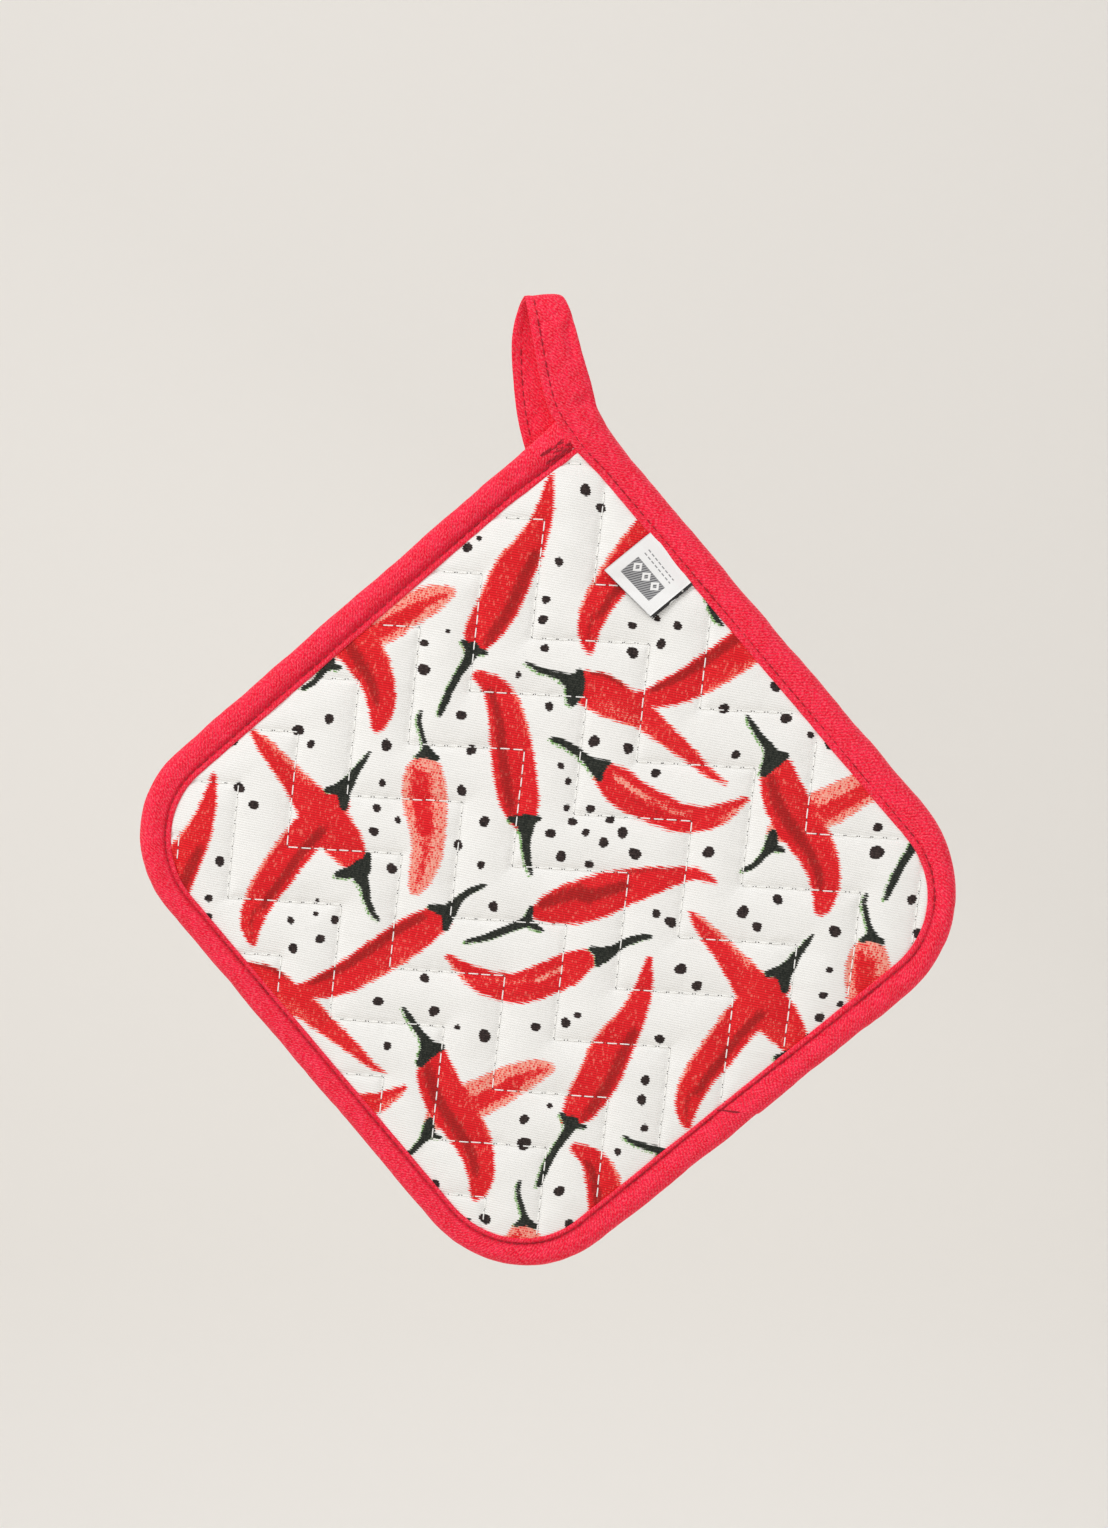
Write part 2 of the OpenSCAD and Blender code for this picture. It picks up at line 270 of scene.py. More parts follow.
DOTS = [
    (3.7, 116.4, 1.6), (8.8, 111.5, 1.3), (-2.7, 94, 1.2), (-5.8, 82.2, 1.1), (-6.3, 76, 1.3),
    (-5, 67.3, 1.1), (-31.2, 96.2, 1.3), (-27.8, 99.3, .7), (-35.3, 70, .6), (-42.5, 65.7, 1.1),
    (-42, 57.5, 1.7), (-12.5, 58.5, .8), (-29.3, 44.3, 1.4), (-2.3, 49.5, 1.2), (22, 68.3, 1.6),
    (30.5, 71.5, 1.3), (35, 77.5, 1.2), (28.7, 79.2, .8), (21.2, 76.5, 1.1), (12.4, 40, 1.6),
    (23, 38.8, 1.5), (32, 32, 1.3), (2.8, 31.5, .9), (5.4, 27, .9), (5.6, 18.7, .9), (13, 19, 1.2),
    (7.7, 14.5, 1.2), (19.2, 16.2, 1.2), (12, 11.6, 1), (1.2, 10.3, 1.4), (17.8, 9, 1.4),
    (23.4, 12.6, 1.5), (27.7, 6.4, 1.7), (5, 3.4, 1.5), (13.9, 1.8, 1.2), (50.2, 9, 1.6),
    (55.9, 39.7, 1.2), (51.2, 53.5, 1.4), (66.2, 61.5, 1.4), (70.2, 52.2, 1.5), (78.1, 47.8, .9),
    (72.4, -3.5, 1.4), (100.7, 21.4, 1.3), (101, 13.7, 2), (112.9, .3, 1.3), (62.2, -8.4, 1.7),
    (66.9, -12.6, 1.4), (90.6, -11.7, 1.6), (90, -23.7, .9), (88.8, -31.8, 1.1), (88.4, -38.9, 1.3),
    (35.8, -11.5, 1.2), (40.4, -13.7, 1.6), (44.7, -28, 1.6), (50.1, -32.8, 1.4), (40.1, -50.7, 1.3),
    (36.6, -64, 1.3), (36, -70.3, 1.4), (14, -45.7, .9), (10.5, -48.5, 1.4), (1.3, -50.8, 1.3),
    (-14.5, -55.3, 1.8), (-23.3, -53.4, .8), (-31, -49, 1.5), (-34.7, -39, 1.3), (-48.8, -47.7, 1.4),
    (-45, -61.6, 1.2), (-14.8, -14.2, 1.4), (-47.5, -5.5, 1.5), (-19.7, -1.5, 1.1), (-64.4, -23.3, 1.2),
    (-70.6, -22, .7), (-70.4, -17.7, .5), (-78.4, -24.9, 1), (-68.6, -29.8, 1.3), (-77.1, -33.6, 1.4),
    (-52, 33, 1.6), (-52.4, 21.2, 1), (-53.6, 13.2, 1.1), (-46.7, 10, .9), (-54, 5.8, 1.3),
    (-25.3, 34, 1.4), (-27.4, 21, 1.4), (-19.6, 12, 1.5), (-27.3, 4, 1.3), (-70.5, 39.7, 1.4),
    (-80.2, 35.3, 1.6), (-75.8, 31.2, 1.1), (-97.7, 15.5, 1.6), (-92.6, 10.6, 1.4), (-102.3, -8.2, 1.4),
    (-105.2, -20.4, 1.1), (-105, -26.2, 1.1), (-10, -113.8, 1.6), (16.8, -112.8, 1.5),
    (-.1, -80.5, 1.4), (.5, -88.3, 2), (7.6, -75.4, .7), (12.7, -102.2, 1.5), (30, -87.6, 1),
    (37.6, -79.3, 1.1),
]
# A dot's reach, how far the print goes, a distance beyond any stroke, and where the green lies
DOT_REACH, PRINT_REACH, FAR = 4, 190, 9.
GREEN_SHIFT = (.65, .5)


# ---- The quilted covers ----------------------------------------------------------------------
# The zigzag rows: from one to the next, from knee to knee and back, and how far a leg climbs
QUILT_PITCH, QUILT_WAVE, QUILT_RISE = 25.4, 49.8, 26.7
QUILT_START, QUILT_SHIFT = 18.8, 31.3
# The cover's own grid, how far it goes on under the tape, and its height where the tape begins
GRID, UNDER_TAPE, COVER_BASE = .74, 2.4, 2.78
SEAM_DEPTH, SEAM_WIDTH = .42, .85
# How far from a row and from the tape the cover is full
FULL_FROM_ROW, FULL_FROM_TAPE = 8.6, 8
# How close to a row, or how near to the tape, the coarse sheet is held
HELD_BY_ROW, HELD_BY_TAPE = 1.1, 1.5
# How many points the coarse sheet that is blown out has along a side, and for how many frames
COARSE, FRAMES = 101, 30
CLOTH = dict(vertex_group_mass="held", quality=5, mass=.3, tension_stiffness=18, compression_stiffness=18,
             shear_stiffness=8, bending_stiffness=.6, use_pressure=True, uniform_pressure_force=4,
             shrink_min=-.035)


def window_distance(u, w):
    """Distance outside the tape's inner edge, negative over the open cover."""
    cu, cw = (L_IN + R_IN) / 2, (LOW_IN + HIGH_IN) / 2
    r = np.where((u > cu) & (w > cw), MITRE_R, WINDOW_R)
    qu, qw = np.abs(u - cu) - (R_IN - L_IN) / 2 + r, np.abs(w - cw) - (HIGH_IN - LOW_IN) / 2 + r
    return np.minimum(np.maximum(qu, qw), 0) + np.hypot(np.maximum(qu, 0), np.maximum(qw, 0)) - r


def row_distance(u, w):
    """Distance to the nearest row of zigzag quilting."""
    leg = np.abs((((-w + QUILT_SHIFT) / QUILT_WAVE + .5) % 1) - .5) * 2
    off = (u - QUILT_START + QUILT_RISE * leg + QUILT_PITCH / 2) % QUILT_PITCH - QUILT_PITCH / 2
    return np.abs(off) / math.hypot(1, 2 * QUILT_RISE / QUILT_WAVE)


def puff_by_rule(u, w):
    """How full the cover is, from the distance to the nearest row or tape."""
    inside = np.maximum(-window_distance(u, w), 0)
    reach = np.minimum(row_distance(u, w) / FULL_FROM_ROW, inside / FULL_FROM_TAPE)
    return np.sin(np.clip(reach, 0, 1) * math.pi / 2) ** .75


def puff_by_cloth(side):
    """The cover blown out against its rows of stitching, from a short simulation of a coarse sheet."""
    line = np.linspace(-HALF, HALF, COARSE)
    u, w = np.meshgrid(line, line, indexing="ij")
    lift = np.random.default_rng(40 + side).uniform(0, .02, u.shape)
    mesh = bpy.data.meshes.new("blown_sheet")
    # In centimetres, so that the simulation's own units suit the cloth
    mesh.from_pydata(np.stack([u / 10, w / 10, lift], -1).reshape(-1, 3).tolist(), [],
                     grid_faces(COARSE, COARSE).tolist())
    sheet = bpy.data.objects.new("blown_sheet", mesh)
    bpy.context.scene.collection.objects.link(sheet)
    pinned = (row_distance(u, w) < HELD_BY_ROW) | (window_distance(u, w) > -HELD_BY_TAPE)
    sheet.vertex_groups.new(name="held").add(np.flatnonzero(pinned.ravel()).tolist(), 1, "REPLACE")
    cloth = sheet.modifiers.new("blow", "CLOTH")
    for key, value in CLOTH.items():
        setattr(cloth.settings, key, value)
    cloth.settings.effector_weights.gravity = 0
    cloth.collision_settings.use_collision = False
    cloth.point_cache.frame_start, cloth.point_cache.frame_end = 1, FRAMES
    scene = bpy.context.scene
    for f in range(1, FRAMES + 1):
        scene.frame_set(f)
    made = sheet.evaluated_get(bpy.context.evaluated_depsgraph_get())
    co = np.zeros(COARSE * COARSE * 3)
    made.data.vertices.foreach_get("co", co)
    bpy.data.objects.remove(sheet)
    bpy.data.meshes.remove(mesh)
    scene.frame_set(1)
    height = co.reshape(COARSE, COARSE, 3)[..., 2]
    height = height * np.sign(np.median(height[~pinned]) or 1)
    return np.clip(height / np.quantile(height, .93), -.2, 1.35)


def sample(field, u, w, step):
    """A square field's values at points of the pad's plane, with step between its own points."""
    i, j = (np.asarray(u) + HALF) / step, (np.asarray(w) + HALF) / step
    i, j = np.clip(i, 0, field.shape[0] - 1.001), np.clip(j, 0, field.shape[1] - 1.001)
    a, b = i.astype(int), j.astype(int)
    f, g = i - a, j - b
    return (field[a, b] * (1 - f) * (1 - g) + field[a + 1, b] * f * (1 - g)
            + field[a, b + 1] * (1 - f) * g + field[a + 1, b + 1] * f * g)


def blurred(field, reach):
    """The field blurred along both its axes."""
    k = np.exp(-np.linspace(-2, 2, 2 * reach + 1) ** 2)
    k /= k.sum()
    for axis in (0, 1):
        field = np.apply_along_axis(
            lambda line: np.convolve(np.pad(line, reach, "edge"), k, "valid"), axis, field)
    return field


class Cover:
    """One printed cover, as a height field over the pad's plane."""

    def __init__(self, side):
        self.side = side
        line = np.arange(-HALF, HALF + GRID, GRID)
        self.u, self.w = np.meshgrid(line, line, indexing="ij")
        self.x, self.z = from_uw(self.u, self.w)
        self.edge = window_distance(self.u, self.w)
        rows = row_distance(self.u, self.w)
        puff = puff_by_rule(self.u, self.w)
        blown = sample(puff_by_cloth(side), self.u, self.w, 2 * HALF / (COARSE - 1))
        puff = .75 * blurred(blown, 2) + .25 * puff
        near = np.exp(-(rows / SEAM_WIDTH) ** 2)
        # Small tucks beside the rows, and two slow waves over the whole cover
        tug = np.exp(-rows / 2.6) * wander2(self.x, self.z, 11 + side, 2.1)
        wave = wander2(self.x, self.z, 5 + side, 9) * .2 + wander2(self.x, self.z, 9 + side, 26) * .25
        rise = smooth(-self.edge / 14)
        self.h = COVER_BASE + .42 * rise + 1.2 * puff - SEAM_DEPTH * near + .2 * tug * rise + wave * rise
        self.h -= .5 * smooth((self.edge + .4) / 1.6)

    def height(self, u, w):
        return sample(self.h, u, w, GRID)


def nearest_on(stroke, x, z):
    """Signed distance to a tapering stroke, with the place along it and across it (left is positive)."""
    line = curve_through(stroke, 3) if len(stroke) > 2 else np.asarray(stroke, float)
    gone = np.concatenate([[0], np.cumsum(np.hypot(*np.diff(line[:, :2], axis=0).T))])
    best, along, across = np.full(x.shape, FAR), np.zeros(x.shape), np.zeros(x.shape)
    for (ax, az, ar), (bx, bz, br), s0, s1 in zip(line, line[1:], gone, gone[1:]):
        dx, dz = bx - ax, bz - az
        size = dx * dx + dz * dz
        t = np.clip(((x - ax) * dx + (z - az) * dz) / size, 0, 1)
        ox, oz = x - ax - t * dx, z - az - t * dz
        r = ar + (br - ar) * t
        d = np.hypot(ox, oz) - r
        won = d < best
        best = np.where(won, d, best)
        along = np.where(won, (s0 + (s1 - s0) * t) / gone[-1], along)
        across = np.where(won, (dx * oz - dz * ox) / math.sqrt(size) / np.maximum(r, .3), across)
    return best, along, across


def every_dot():
    """The dots, and their repeats wherever none has been drawn."""
    dots = list(DOTS)
    for mx, mz in REPEATS[1:]:
        for cx, cz, r in DOTS:
            x, z = cx + mx, cz + mz
            clear = all(math.hypot(x - a, z - b) > DOT_REACH for a, b, _ in dots)
            if clear and max(abs(x), abs(z)) < PRINT_REACH:
                dots.append((x, z, r))
    return dots


def print_pepper(pepper, x, z, red, black, green, tone, dark):
    """Adds one motif to the print's fields, at the points near to it."""
    strokes = [pepper["body"]] + pepper["stalk"]
    reach = np.concatenate([np.asarray(s)[:, :2] for s in strokes])
    (x0, z0), (x1, z1) = reach.min(0) - 10, reach.max(0) + 10
    at = np.flatnonzero((x > x0) & (x < x1) & (z > z0) & (z < z1))
    if not len(at):
        return
    x, z = x[at], z[at]
    d, along, across = nearest_on(pepper["body"], x, z)
    amounts = {"ink": np.full(d.shape, float(pepper["tone"])), "shade": np.zeros(d.shape)}
    for kind, side, width, start, end, amount in pepper["patches"]:
        share = smooth(1.15 - np.abs(across - side) / width) \
            * smooth((along - start) / .09 + .5) * smooth((end - along) / .09 + .5)
        amounts[kind] += share * amount
    over = smooth(.5 - d / .5)
    tone[at] = tone[at] * (1 - over) + amounts["ink"] * over
    dark[at] = dark[at] * (1 - over) + amounts["shade"] * over
    red[at] = np.minimum(red[at], d)
    for stroke in pepper["stalk"]:
        black[at] = np.minimum(black[at], nearest_on(stroke, x, z)[0])
        green[at] = np.minimum(green[at], nearest_on(stroke, x + GREEN_SHIFT[0], z + GREEN_SHIFT[1])[0])


def printed(x, z):
    """What is printed at each point: how far outside the red, the black and the dots it lies, how
    dense and how dark the red is, and how far outside the green beside a stalk it lies."""
    red, black, dot, green = (np.full(x.shape, FAR) for _ in range(4))
    tone, dark = np.ones(x.shape), np.zeros(x.shape)
    for pepper in PEPPERS.values():
        for mx, mz in REPEATS:
            print_pepper(pepper, x - mx, z - mz, red, black, green, tone, dark)
    for cx, cz, r in every_dot():
        dx, dz = x - cx, z - cz
        at = np.flatnonzero(np.hypot(dx, dz) < DOT_REACH)
        if len(at):
            turn = np.arctan2(dz[at], dx[at])
            wobble = 1 + .1 * np.sin(2 * turn + cx) + .06 * np.sin(3 * turn + cz)
            dot[at] = np.minimum(dot[at], np.hypot(dx[at], dz[at]) - r * wobble - .14)
    return np.stack([red, black, dot], -1), np.stack([tone, dark, green], -1)


def only_used(faces, size):
    """The points that the faces use, and the faces with those points' new numbers."""
    used = np.unique(faces)
    number = np.zeros(size, int)
    number[used] = np.arange(len(used))
    return used, number[faces]


def cover_piece(name, cover, node, shift=(0, 0)):
    side = cover.side
    inside = (cover.edge < UNDER_TAPE).ravel()
    faces = grid_faces(*cover.u.shape)
    used, faces = only_used(faces[inside[faces].all(1)], inside.size)
    x, z, h, edge = (field.ravel()[used] for field in (cover.x, cover.z, cover.h, cover.edge))
    px, pz = x * side + shift[0], z + shift[1]
    ink, tint = printed(px, pz)
    piece = make(name, np.stack([x, z, h * side], -1), faces[:, ::-side], COTTON, "pad",
                 flat=np.stack([px, pz, edge], -1), ink=ink, tint=tint)
    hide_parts(node)
    return piece


# ---- Thread ----------------------------------------------------------------------------------
def stitches(name, middles, ups, radius, material, body=None):
    """Short lengths of thread. middles is (stitches, points along, 3), ups the way out of the cloth.
    The field bite is 1 where the thread goes down into the cloth, and the material paints shade there."""
    middles, ups = np.asarray(middles, float), np.asarray(ups, float)
    count, along = middles.shape[:2]
    t = np.gradient(middles, axis=1)
    t /= np.linalg.norm(t, axis=-1, keepdims=True) + 1e-9
    across = np.cross(ups, t)
    across /= np.linalg.norm(across, axis=-1, keepdims=True) + 1e-9
    up = np.cross(t, across)
    turn = np.arange(6) * math.pi / 3
    spread = np.sqrt(np.maximum(1 - np.linspace(-1, 1, along) ** 8, .5))[None, :, None, None] * radius
    ring = (np.cos(turn)[:, None] * across[:, :, None] + .8 * np.sin(turn)[:, None] * up[:, :, None]) * spread
    points = (middles[:, :, None] + ring).reshape(-1, 3)
    one = grid_faces(along, 6, close=True)
    caps = [list(range(6)), list(range(along * 6 - 1, along * 6 - 7, -1))]
    faces = []
    for first in range(0, count * along * 6, along * 6):
        faces += (one + first).tolist() + [[v + first for v in cap] for cap in caps]
    bite = np.abs(np.linspace(-1, 1, along)) ** 3
    bite = np.broadcast_to(bite[None, :, None], (count, along, 6)).ravel()
    gone = np.tile(np.repeat(np.linspace(0, 1, along), 6), count)
    return make(name, points, faces, material, body, flat=np.stack([gone, bite, bite], -1))


STITCH, STITCH_GAP = 3.55, .45


def quilting(name, cover, node):
    middles, ups = [], []
    knees = np.arange(-6, 7)
    w = QUILT_SHIFT + knees * QUILT_WAVE / 2
    for row in range(-8, 9):
        u = QUILT_START + row * QUILT_PITCH - (np.abs(knees) % 2) * QUILT_RISE
        for a, b in zip(np.stack([u, w], -1), np.stack([u, w], -1)[1:]):
            leg = np.linalg.norm(b - a)
            count = round(leg / (STITCH + STITCH_GAP))
            for k in range(count):
                middle = (k + .5) * (leg / count) + rng.uniform(-.12, .12)
                s = middle + np.linspace(-.5, .5, 7) * (STITCH + rng.uniform(-.2, .2))
                line = a + (b - a) * (s / leg)[:, None] + rng.uniform(-.08, .08, 2)
                if (window_distance(line[:, 0], line[:, 1]) > -.2).any():
                    continue
                x, z = from_uw(line[:, 0], line[:, 1])
                h = cover.height(line[:, 0], line[:, 1]) + .1 - .13 * np.abs(np.linspace(-1, 1, 7)) ** 7
                middles.append(np.stack([x, z, h * cover.side], -1))
                ups.append(np.broadcast_to((0, 0, cover.side), (7, 3)))
    piece = stitches(name, middles, ups, .21, WHITE_THREAD, "pad")
    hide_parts(node)
    return piece


# ---- The binding tape ------------------------------------------------------------------------
def straight(a_in, b_in, a_out, b_out, step=1.3):
    """Stations along a straight side, from the inner and outer edge's ends."""
    n = max(2, int(np.linalg.norm(np.subtract(b_out, a_out)) / step))
    t = np.linspace(0, 1, n)[:, None]
    return np.add(a_in, t * np.subtract(b_in, a_in)), np.add(a_out, t * np.subtract(b_out, a_out))


def arc(c_in, r_in, c_out, r_out, start, step=1.3):
    """Stations round a corner, a quarter turn from the angle start."""
    n = max(4, int(r_out * math.pi / 2 / step))
    a = math.radians(start) + np.linspace(0, math.pi / 2, n)[1:-1]
    ring = np.stack([np.cos(a), np.sin(a)], -1)
    return c_in + r_in * ring, c_out + r_out * ring


def joined(*parts):
    """The parts' stations one after another, on the pad's plane."""
    inner, outer = (np.concatenate([p[k] for p in parts]) for k in (0, 1))
    return [np.stack([*from_uw(e[:, 0], e[:, 1]), np.zeros(len(e))], -1) for e in (inner, outer)]


# Where the slanting join of the two runs crosses the tape's edges, and how far they overlap there
JOIN_IN, JOIN_OUT, JOIN_LAP = -8.5, 1.1, .1
# How far up the first run starts, hidden under the loop's root, and from where its width is even
START, EVEN_FROM = 96, 64


def first_run():
    """Down the upper left side, round the left and bottom corners and on to the slanting join."""
    rl, rb = OUTER_R["left"], OUTER_R["bottom"]
    return joined(
        straight((START, HIGH_IN - 2.1), (EVEN_FROM, HIGH_IN), (START, HALF), (EVEN_FROM, HALF)),
        straight((EVEN_FROM - 1.3, HIGH_IN), (L_IN + WINDOW_R, HIGH_IN),
                 (EVEN_FROM - 1.3, HALF), (rl - HALF, HALF)),
        arc((L_IN + WINDOW_R, HIGH_IN - WINDOW_R), WINDOW_R, (rl - HALF, HALF - rl), rl, 90),
        straight((L_IN, HIGH_IN - WINDOW_R), (L_IN, LOW_IN + WINDOW_R),
                 (-HALF, HALF - rl), (-HALF, rb - HALF)),
        arc((L_IN + WINDOW_R, LOW_IN + WINDOW_R), WINDOW_R, (rb - HALF, rb - HALF), rb, 180),
        straight((L_IN + WINDOW_R, LOW_IN), (JOIN_IN, LOW_IN), (rb - HALF, -HALF), (JOIN_OUT, -HALF)))


def second_run():
    """From the join round the right corner and up to where the loop begins."""
    rr = OUTER_R["right"]
    return joined(
        straight((JOIN_IN - JOIN_LAP, LOW_IN), (R_IN - WINDOW_R, LOW_IN),
                 (JOIN_OUT - JOIN_LAP, -HALF), (HALF - rr, -HALF)),
        arc((R_IN - WINDOW_R, LOW_IN + WINDOW_R), WINDOW_R, (HALF - rr, rr - HALF), rr, 270),
        straight((R_IN, LOW_IN + WINDOW_R), (R_IN + .3, 80), (HALF, rr - HALF), (HALF, 78)))


# The strap of the loop: inner edge, outer edge, and half its thickness there
LOOP = [
    ((.4, 127.8, .3), (10, 134.8, 0), 3.5), ((-3, 131.9, .8), (7.6, 138.2, .3), 3.1),
    ((-6.5, 136, 1.7), (5.2, 142, .9), 2.3), ((-9.6, 141, 2.4), (3.4, 147.2, 1.6), 1.6),
    ((-12.5, 149, 2.9), (1, 153.6, 2.5), 1.1), ((-14.7, 157, 3.1), (-1.6, 160.5, 3), .95),
    ((-16.3, 163, 3), (-3.4, 165.8, 3.2), .9), ((-17.9, 169, 2.3), (-5.6, 171.2, 2.7), .9),
    ((-19, 172.7, .8), (-7.7, 174.2, 1.2), .9), ((-19.8, 172.6, -.9), (-8.4, 173.6, -.8), .9),
    ((-20.9, 169.8, -2.7), (-8.9, 170.6, -4.6), .9), ((-21.8, 165, -2.8), (-9.4, 165.8, -6.4), .9),
    ((-22, 160, -2.6), (-9.6, 161, -6.2), .9), ((-21.5, 154, -3), (-9.1, 155.5, -4.6), .9),
    ((-20.5, 147, -3.6), (-8.2, 149, -3.9), .9), ((-19.2, 140, -3.8), (-7, 142.4, -4), .85),
    ((-17.5, 133.4, -4.1), (-5.4, 136.2, -4.2), .8), ((-15.4, 127.6, -4.4), (-3.6, 130.8, -4.4), .75),
    ((-13.2, 122, -4.5), (-1.6, 125.4, -4.5), .7), ((-11.6, 118.4, -4.4), (0, 121.8, -4.4), .6),
]


def strap_run():
    """The second run with the loop on its end: inner edge, outer edge, half thickness."""
    inner, outer = second_run()
    points = [(inner[-1], outer[-1], TAPE_H)] + LOOP
    line = curve_through([[*a, *b, t] for a, b, t in points], 9)[1:]
    return (np.concatenate([inner, line[:, :3]]), np.concatenate([outer, line[:, 3:6]]),
            np.concatenate([np.full(len(inner), TAPE_H), line[:, 6]]))


# Creases pressed into the tape's front: from, to, depth and half width
CREASES = [
    ((6, 141.6), (.8, 143.2), 1.7, 1.9), ((-5.8, 165), (-3, 157), 1.1, 1),
    ((-4.6, 168), (-4.4, 163), .7, .9), ((-10, 131), (-6.8, 133.6), .35, .9),
    ((-14, 127), (-11, 129.5), .3, .9), ((-20, 117.5), (-14, 122), .35, .9),
    ((-26, 110), (-21, 114), .3, .9), ((2, 134), (6, 130), .35, 1), ((-10, 152), (-4, 147), .45, 1.5),
    ((-14, 165), (-8, 168.5), .4, 1.4), ((-6, 157), (-12, 161), .4, 1.5), ((-1, 152), (-4, 157), .35, 1.2),
]


def creased(x, z):
    """How deep the creases are at each point."""
    deep = np.zeros(x.shape)
    for (ax, az), (bx, bz), depth, width in CREASES:
        dx, dz = bx - ax, bz - az
        t = np.clip(((x - ax) * dx + (z - az) * dz) / (dx * dx + dz * dz), 0, 1)
        deep += depth * np.exp(-((x - ax - t * dx) ** 2 + (z - az - t * dz) ** 2) / width ** 2)
    return deep


# Half of the folded tape's section, from its hidden hem over the seam line to the outer fold: how far
# from the inner edge in millimetres, or in shares of the tape's width, and how high
SECTION = [
    (2.7, 0, 2.05), (1.2, 0, 2.1), (.25, 0, 2.25), (-.05, 0, 2.5), (-.15, 0, 2.85), (.02, 0, 3.2),
    (.4, 0, 3.38), (.9, 0, 3.42), (1.3, 0, 3.3), (1.62, 0, 3.06), (1.82, 0, 2.9), (2.05, 0, 2.98),
    (2.4, 0, 3.14), (2.9, 0, 3.3), (3.6, 0, 3.5), (0, .5, 3.78), (0, .6, 3.86), (0, .7, 3.78),
    (0, .78, 3.52), (0, .85, 3.1), (0, .91, 2.5), (0, .955, 1.75), (0, .985, .95), (0, 1, 0),
]
# Where on it the seam's groove lies, how many points are hidden under the tape, and how many make the
# hem. The last is the width that the shares are taken of where a height is looked up
GROOVE, HIDDEN, HEM, FULL_WIDTH = 1.82, 3, 4, 10.4


def lengths_along(line):
    return np.concatenate([[0], np.cumsum(np.linalg.norm(np.diff(line, axis=0), axis=1))])


class Tape:
    """The tape folded over the pad's edge along matched inner and outer edges. groove is the place of
    the topstitching at each station, and free is 1 where the tape's hems meet, off the pad. The material
    paints shade along the groove from the field that it reads; soft lessens that painted shade and a fall
    under 1 spreads it outwards."""

    def __init__(self, name, inner, outer, thick, groove, seed, free=0, soft=0, fall=1):
        self.inner, self.across, self.thick, self.groove = inner, outer - inner, thick, groove
        middle = (inner + outer) / 2
        self.gone = lengths_along(middle)
        self.out = np.cross(self.across, np.gradient(middle, axis=0))
        self.out /= np.linalg.norm(self.out, axis=1, keepdims=True)
        width = np.linalg.norm(self.across, axis=1)
        wavy = .16 * wander(self.gone, seed + 120, 11) + .05 * wander(self.gone, seed + 121, 2.6)
        section = SECTION + [(a, b, -c) for a, b, c in SECTION[-2::-1]]
        columns, fields = [], []
        for j, (fixed, share, high) in enumerate(section):
            front = 1 if j < len(SECTION) else -1
            from_hem = min(j, len(section) - 1 - j)
            if share:
                d = share * width
            elif from_hem < HIDDEN:
                d = fixed
            elif fixed < GROOVE:
                d = fixed * groove / GROOVE
            else:
                d = fixed + (groove - GROOVE)
            d = d + wavy * (share + (fixed < .3) * .5)
            at = inner + self.across * (d / width)[:, None]
            # The cloth's own unevenness, which is gone at the outer fold
            fold = max(0, 1 - abs(high) / TAPE_H) if share else 0
            ripple = .10 * wander(self.gone, seed + 3 * j // 4, 3.2)
            ripple = ripple + .16 * wander(self.gone, seed + 50 + front, 8)
            if not share:
                tuck = .16 * wander(self.gone, seed + 80 + front, 1.9)
                ripple = ripple + tuck * math.exp(-((fixed - 2.6) / 1.3) ** 2)
            lip = free if from_hem < HEM else 0
            level = high * (1 - .8 * lip) / TAPE_H * thick
            level = level + front * ripple * np.minimum(1, thick / 2.4) * (1 - fold)
            if front > 0 and from_hem >= HIDDEN:
                level = level - creased(at[:, 0], at[:, 1]) * (self.out[:, 2] > .3) * (1 - fold)
            columns.append(at + self.out * level[:, None])
            # The field's last part is how far from the groove, where the material paints shade
            fields.append(np.stack([self.gone, d if front > 0 else 2 * width - d,
                                    np.maximum(groove - d, (d - groove) * fall) + soft], -1))
        points, flat = (np.stack(rows, 1).reshape(-1, 3) for rows in (columns, fields))
        self.piece = make(name, points, grid_faces(len(inner), len(section)), RED, flat=flat)

    def groove_at(self, s):
        return np.interp(s, self.gone, self.groove)

    def skin(self, s, d, front):
        """Points on the skin at distances s along and d in from the inner edge, and the ways out."""
        k = np.interp(s, self.gone, np.arange(len(self.gone)))
        i = np.clip(k.astype(int), 0, len(self.gone) - 2)
        f = (k - i)[:, None]
        at, a, o, t = (v[i] * (1 - f) + v[i + 1] * f
                       for v in (self.inner, self.across, self.out, self.thick[:, None]))
        table = np.array([(fixed + share * FULL_WIDTH, high) for fixed, share, high in SECTION[HEM:]])
        g = self.groove_at(s)
        high = np.interp(np.where(d < g, d * GROOVE / g, d - g + GROOVE), table[:, 0], table[:, 1])
        at = at + a * (d / np.linalg.norm(a, axis=1))[:, None]
        return at + front * o * (high[:, None] / TAPE_H * t), front * o


def topstitches(tape, start, end, pitch=3.0, length=2.35):
    middles, ups = [], []
    for front in (1, -1):
        for s0 in np.arange(start, end, pitch):
            s = s0 + rng.uniform(-.15, .15) + np.linspace(0, 1, 5) * (length + rng.uniform(-.25, .25))
            if s[-1] > tape.gone[-1] - .3:
                continue
            p, up = tape.skin(s, tape.groove_at(s) + rng.uniform(-.07, .07), front)
            sink = .1 - .35 * np.abs(np.linspace(-1, 1, 5)) ** 4
            middles.append(p + up * sink[:, None])
            ups.append(up)
    return middles, ups


# ---- Materials -------------------------------------------------------------------------------
def colour(r, g, b):
    """A colour from its everyday 0 to 255 values."""
    shares = [c / 255 for c in (r, g, b)]
    return tuple(c / 12.92 if c <= .04 else ((c + .055) / 1.055) ** 2.4 for c in shares) + (1,)


